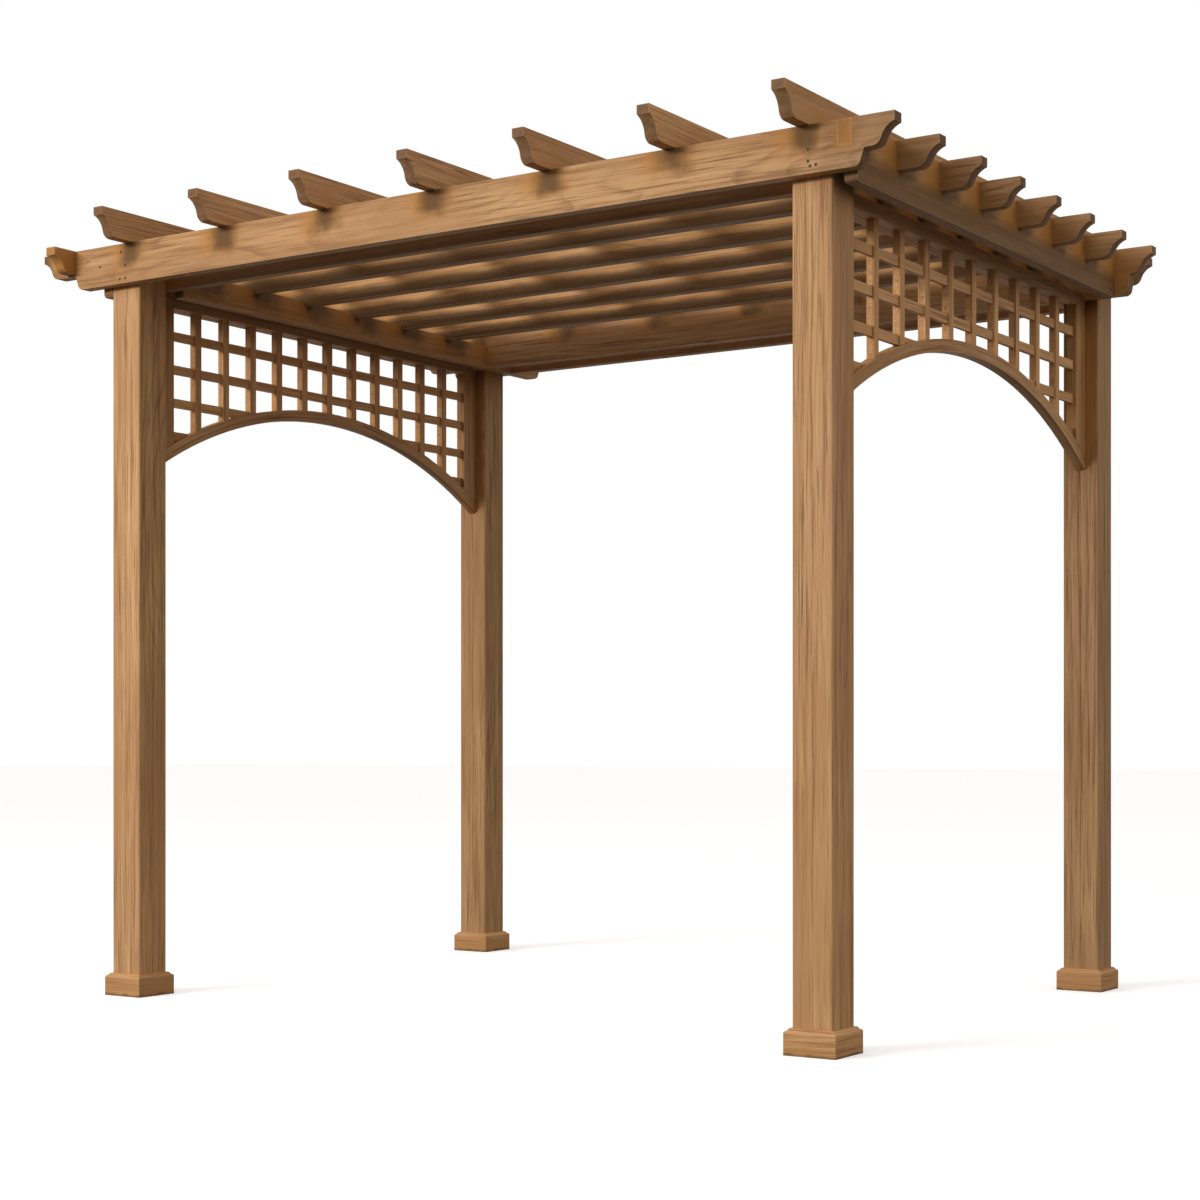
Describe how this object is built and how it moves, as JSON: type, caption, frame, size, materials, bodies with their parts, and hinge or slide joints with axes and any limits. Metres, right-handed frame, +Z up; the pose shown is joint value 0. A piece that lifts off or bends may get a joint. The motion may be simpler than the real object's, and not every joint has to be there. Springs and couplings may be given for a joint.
{
  "type": "garden pergola",
  "caption": "Open timber pergola on square posts with base skirts, shaped beam, rafter and purlin tails and arched lattice sides.",
  "frame": {"origin": "on the ground, under the middle of the structure's overall box", "axes": "+X along the front to the right, +Y from the front to the back, +Z up"},
  "size_m": [3.622, 2.72, 2.916],
  "materials": {
    "post_wood": "weathered, oiled softwood with eased edges",
    "skirt_wood": "weathered, oiled softwood with eased edges",
    "purlin_wood": "weathered, oiled softwood with eased edges",
    "rafter_wood": "weathered, oiled softwood with eased edges",
    "beam_wood": "weathered, oiled softwood with eased edges",
    "lattice_wood": "weathered, oiled softwood with eased edges",
    "panel_wood": "weathered, oiled softwood with eased edges"
  },
  "bodies": {
    "root": {"back_beam": "beam_wood", "back_inner_beam": "beam_wood", "front_beam": "beam_wood", "front_inner_beam": "beam_wood", "left_arch_rail": "panel_wood", "left_back_short_lath": "lattice_wood", "left_back_stile": "panel_wood", "left_fly": "beam_wood", "left_front_short_lath": "lattice_wood", "left_front_stile": "panel_wood", "left_inner_header": "beam_wood", "left_lattice": "lattice_wood", "left_outer_header": "beam_wood", "left_top_rail": "panel_wood", "post_back_left": "post_wood", "post_back_right": "post_wood", "post_front_left": "post_wood", "post_front_right": "post_wood", "purlin_1": "purlin_wood", "purlin_2": "purlin_wood", "purlin_3": "purlin_wood", "purlin_4": "purlin_wood", "purlin_5": "purlin_wood", "purlin_6": "purlin_wood", "purlin_7": "purlin_wood", "rafter_1": "rafter_wood", "rafter_2": "rafter_wood", "rafter_3": "rafter_wood", "rafter_4": "rafter_wood", "rafter_5": "rafter_wood", "rafter_6": "rafter_wood", "right_arch_rail": "panel_wood", "right_back_short_lath": "lattice_wood", "right_back_stile": "panel_wood", "right_front_short_lath": "lattice_wood", "right_front_stile": "panel_wood", "right_inner_header": "beam_wood", "right_lattice": "lattice_wood", "right_outer_header": "beam_wood", "right_top_rail": "panel_wood", "skirt_back_left": "skirt_wood", "skirt_back_right": "skirt_wood", "skirt_front_left": "skirt_wood", "skirt_front_right": "skirt_wood"}
  },
  "joints": []
}
